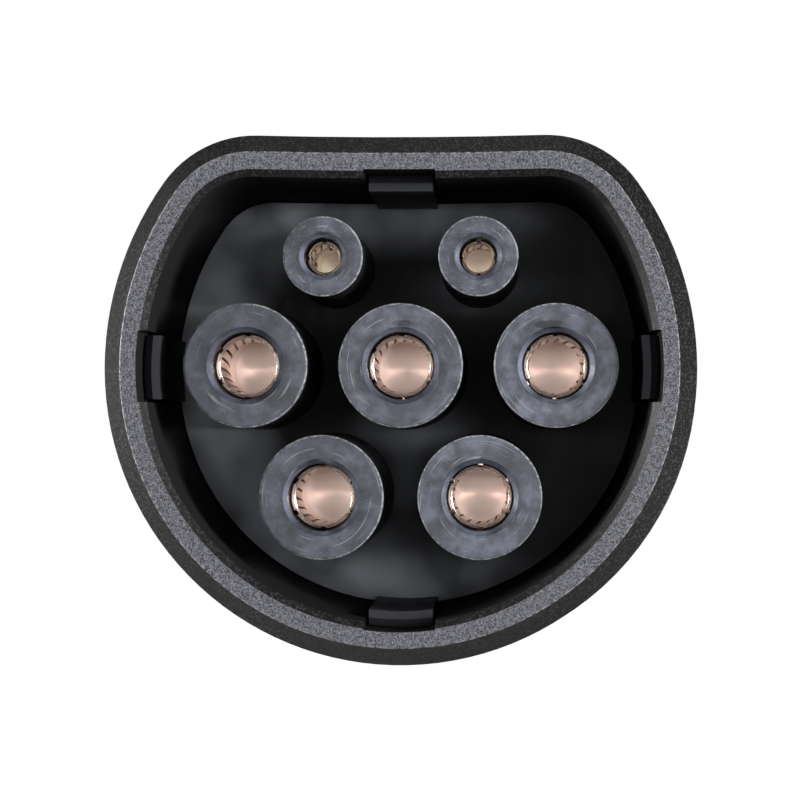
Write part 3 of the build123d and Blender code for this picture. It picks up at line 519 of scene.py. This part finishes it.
finish = {
    # nose_plastic's third colour is the painted sheen of its front rim.
    "nose_plastic": eroded_plastic(
        "nose_plastic", (0.003, 0.003, 0.0035), (0.062, 0.061, 0.065), (0.155, 0.159, 0.186), 0.5, 0.19 * MM
    ),
    "handle_plastic": eroded_plastic(
        "handle_plastic", HANDLE_DARK, HANDLE_LIGHT, HANDLE_LIGHT, 0.52, 0.2 * MM
    ),
    "carrier_plastic": smooth_plastic(
        "carrier_plastic", (0.003, 0.0032, 0.004), (0.006, 0.0065, 0.008), 0.45, 0.12, FLOOR_LIGHT_PATCHES
    ),
    "spring_steel": turned_metal("spring_steel", (0.5, 0.5, 0.5), (0.62, 0.62, 0.62), 0.3),
    "screw_steel": turned_metal("screw_steel", (0.3, 0.3, 0.31), (0.42, 0.42, 0.43), 0.35),
    "insert_brass": turned_metal("insert_brass", (0.7, 0.52, 0.24), (0.82, 0.66, 0.36), 0.3),
    "seal_rubber": rubber("seal_rubber", (0.012, 0.012, 0.012), (0.03, 0.03, 0.03)),
    "gland_plastic": eroded_plastic(
        "gland_plastic", HANDLE_DARK, GLAND_LIGHT, GLAND_LIGHT, 0.5, 0.18 * MM
    ),
    "resistor_body": smooth_plastic("resistor_body", (0.45, 0.36, 0.22), (0.6, 0.5, 0.33), 0.4),
}
for name, piece in nodes.items():
    piece.data.materials.clear()
    piece.data.materials.append(finish.get(slot_of[name]))

# Each tube and each contact has a material of its own, centred on its axis.
places = {
    mount["name"].removeprefix("contact_"): mount
    for mount in frame["record"]["mounts"]
    if mount["name"].startswith("contact_")
}
for index, (name, mount) in enumerate(sorted(places.items())):
    centre = (mount["pos_m"][0], mount["pos_m"][2])
    bore_r = mount["dims"]["r_mm"] * MM
    low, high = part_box("tube_" + name)
    outer_r = (high.x - low.x) / 2 - TUBE_DRAFT
    nodes["tube_" + name].data.materials[0] = tube_plastic(
        "tube_plastic_" + name, centre, outer_r, bore_r + MOUTH_GROWTH, 7.3 * index, MOUTH_DARK_MARKS.get(name)
    )
    metals = COPPER if bore_r > POWER_BORE else BRASS
    nodes["contact_" + name].data.materials[0] = socket_metal("socket_" + name, *metals, centre, bore_r)


# ------------------------------------------------------------------ lamella baskets in the sockets
BASKET_FRONT = 9.3 * MM     # rim to the front of the baskets
BAND_WIDTH = 0.8 * MM       # depth of the bands that hold the slats
BASKET_GAP = 0.02 * MM      # basket inside the bore, all round
TWIST = math.radians(16)    # turn of a slat from one end to the other
SLAT_SHARE = 0.76           # width of a slat, as a share of the slats' pitch


def add_skin(verts, faces, rows, closed):
    """Joins rows of points into a sheet; closed rows run round as rings."""
    base = len(verts)
    across = len(rows[0])
    for row in rows:
        verts.extend(row)
    for index in range(len(rows) - 1):
        for column in range(across if closed else across - 1):
            a = base + index * across + column
            b = base + index * across + (column + 1) % across
            faces.append((a, b, b + across, a + across))


def around(centre, radius, depth, angle):
    """Point at an angle about a contact's axis."""
    return (centre[0] + radius * math.cos(angle), depth, centre[1] + radius * math.sin(angle))


def basket_ring(centre, radius, wall, front, rear, lip_steps, segments=64):
    """Rows of points for a band of the basket: straight outside, rounded lip at its front edge."""
    inner = radius - wall
    profile = [(inner, rear), (radius, rear), (radius, front)]
    for step in range(1, lip_steps + 1):
        turn = math.pi / 2 * step / lip_steps
        profile.append((inner + wall * math.cos(turn), front + wall * math.sin(turn)))
    profile.append((inner, rear))
    angles = [math.tau * k / segments for k in range(segments)]
    return [[around(centre, reach, depth, angle) for angle in angles] for reach, depth in profile]


def slat_rows(centre, radius, bow, middle, width, front, rear, steps=8):
    """Rows of points for one twisted slat that bows towards the axis halfway down."""
    rows = []
    for step in range(steps + 1):
        share = step / steps
        reach = radius - bow * math.sin(math.pi * share)
        depth = front + (rear - front) * share
        turned = middle + TWIST * (share - 0.5)
        angles = [turned + width * side for side in (-0.5, -0.17, 0.17, 0.5)]
        rows.append([around(centre, reach, depth, angle) for angle in angles])
    return rows


def basket_mesh(name, centre, bore_r, slats, length):
    """Crown of thin spring slats, held between a rounded front band and a rear band."""
    rear = BASKET_FRONT + length
    wall = 0.07 * bore_r
    outside = bore_r - BASKET_GAP
    slat_front = BASKET_FRONT + 0.6 * BAND_WIDTH
    slat_rear = rear - 0.5 * BAND_WIDTH
    width = SLAT_SHARE * math.tau / slats
    verts, faces = [], []
    front_band = basket_ring(centre, outside, wall, BASKET_FRONT, BASKET_FRONT + BAND_WIDTH, 5)
    rear_band = basket_ring(centre, outside, wall / 2, rear - BAND_WIDTH, rear, 2)
    add_skin(verts, faces, front_band, True)
    add_skin(verts, faces, rear_band, True)
    for index in range(slats):
        middle = math.tau * index / slats
        rows = slat_rows(centre, outside - wall / 2, 1.3 * wall, middle, width, slat_front, slat_rear)
        add_skin(verts, faces, rows, False)
    mesh = bpy.data.meshes.new(name)
    mesh.from_pydata(verts, [], faces)
    mesh.validate()
    for face in mesh.polygons:
        face.use_smooth = True
    return mesh


def lamella_basket(name, mesh, metal):
    """Sets a basket in its socket, on the plug's one body."""
    mesh.materials.append(metal)
    made = bpy.data.objects.new(name, mesh)
    scene.collection.objects.link(made)
    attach(made, "root")


copper_basket = basket_metal("copper_basket", (0.9, 0.68, 0.58))
brass_basket = basket_metal("brass_basket", (0.86, 0.72, 0.55))
for name, mount in sorted(places.items()):
    centre = (mount["pos_m"][0], mount["pos_m"][2])
    bore_r = mount["dims"]["r_mm"] * MM
    title = "basket_" + name
    if bore_r > POWER_BORE:
        mesh = basket_mesh(title, centre, bore_r, slats=18, length=14 * MM)
        lamella_basket(title, mesh, copper_basket)
    else:
        mesh = basket_mesh(title, centre, bore_r, slats=11, length=9 * MM)
        lamella_basket(title, mesh, brass_basket)


# ------------------------------------------------------------------ floor and backdrop
def white_when_seen(name, share, mirrored):
    """Pale paint that keeps shadows: share is how white it is when seen, mirrored when reflected."""
    s = Shader(name, (0.5, 0.5, 0.5), 0.9)
    s.bsdf.inputs["Specular IOR Level"].default_value = 0.0
    path = s.node("LightPath")
    seen = s.math("MAXIMUM", path.outputs["Is Camera Ray"], path.outputs["Is Transmission Ray"])
    glossy = s.math("MULTIPLY", path.outputs["Is Glossy Ray"], mirrored)
    shown = s.math("ADD", s.math("MULTIPLY", seen, share), glossy)
    glow = s.node("Emission")
    glow.inputs["Strength"].default_value = 1.16
    blend = s.node("MixShader")
    s.link(shown, blend.inputs[0])
    s.link(s.bsdf.outputs["BSDF"], blend.inputs[1])
    s.link(glow.outputs["Emission"], blend.inputs[2])
    s.link(blend.outputs["Shader"], s.tree.nodes["Material Output"].inputs["Surface"])
    return s.mat


def studio_world():
    """Pale room: white where the camera sees it, dim to the object, dark right in front of the nose."""
    world = bpy.data.worlds.new("studio")
    scene.world = world
    world.use_nodes = True
    g = Graph(world.node_tree)
    along = g.split(g.coord.outputs["Generated"])["Y"]
    spot = g.ramp(along, -math.cos(math.radians(5)), -math.cos(math.radians(25)), 0.03, 0.35)
    room = g.ramp(along, -0.75, 0.0, 0.35, 0.05)
    path = g.node("LightPath")
    level = g.pick(path.outputs["Is Glossy Ray"], 0.1, g.math("MINIMUM", spot, room))
    level = g.pick(path.outputs["Is Transmission Ray"], level, 1.0)
    level = g.pick(path.outputs["Is Camera Ray"], level, 1.0)
    back = g.tree.nodes["Background"]
    back.inputs["Color"].default_value = (1, 1, 1, 1)
    g.link(level, back.inputs["Strength"])


FLOOR_SIZE = 8
floor_z = cad_box[0][2]
bpy.ops.mesh.primitive_plane_add(size=FLOOR_SIZE, location=(0, 0, floor_z))
floor = bpy.context.object
floor.name = "floor"
floor.data.materials.append(white_when_seen("floor_paint", 0.86, 0.05))
studio_world()


# ------------------------------------------------------------------ lights and camera
def lamp(name, place, watts, size=0.5, aim=(0, 0, 0)):
    """Round area lamp at a place, turned towards a point of the object."""
    data = bpy.data.lights.new(name, "AREA")
    data.shape = "DISK"
    data.size = size
    data.energy = watts
    made = bpy.data.objects.new(name, data)
    made.location = place
    made.rotation_euler = (Vector(aim) - Vector(place)).to_track_quat("-Z", "Y").to_euler()
    scene.collection.objects.link(made)
    return made


lamp("left_far", (-1.2, -0.16, 0.1), 19.0)
lamp("left_side", (-1.08, -0.57, 0.1), 9.0)
lamp("right_side", (1.0, -0.72, 0.1), 26.0)
lamp("front_right", (0.62, -1.1, 0.1), 2.0)
lamp("top", (0.1, 0.9, 1.2), 0.25, size=0.6, aim=(0, 0.15, 0))
# A low, wide lamp in front draws the bright bow across the floors of the sockets.
band = lamp("front_band", (0.03, -1.3, 0.03), 2.3, size=0.8)
band.data.shape = "RECTANGLE"
band.data.size_y = 0.09

RIM_DISTANCE = 340 * MM
EYE = Vector((10.1 * MM, -RIM_DISTANCE, -6.2 * MM))
AIM = Vector((0.1 * MM, 0, -3.2 * MM))
FIELD = 80 * MM             # width of the view in the plane of the rim
SENSOR = 36
camera_data = bpy.data.cameras.new("camera")
camera_data.sensor_width = SENSOR
camera_data.lens = SENSOR * (AIM - EYE).length / FIELD
camera_data.clip_start = 0.01
camera = bpy.data.objects.new("camera", camera_data)
camera.location = EYE
camera.rotation_euler = (AIM - EYE).to_track_quat("-Z", "Y").to_euler()
scene.collection.objects.link(camera)
scene.camera = camera
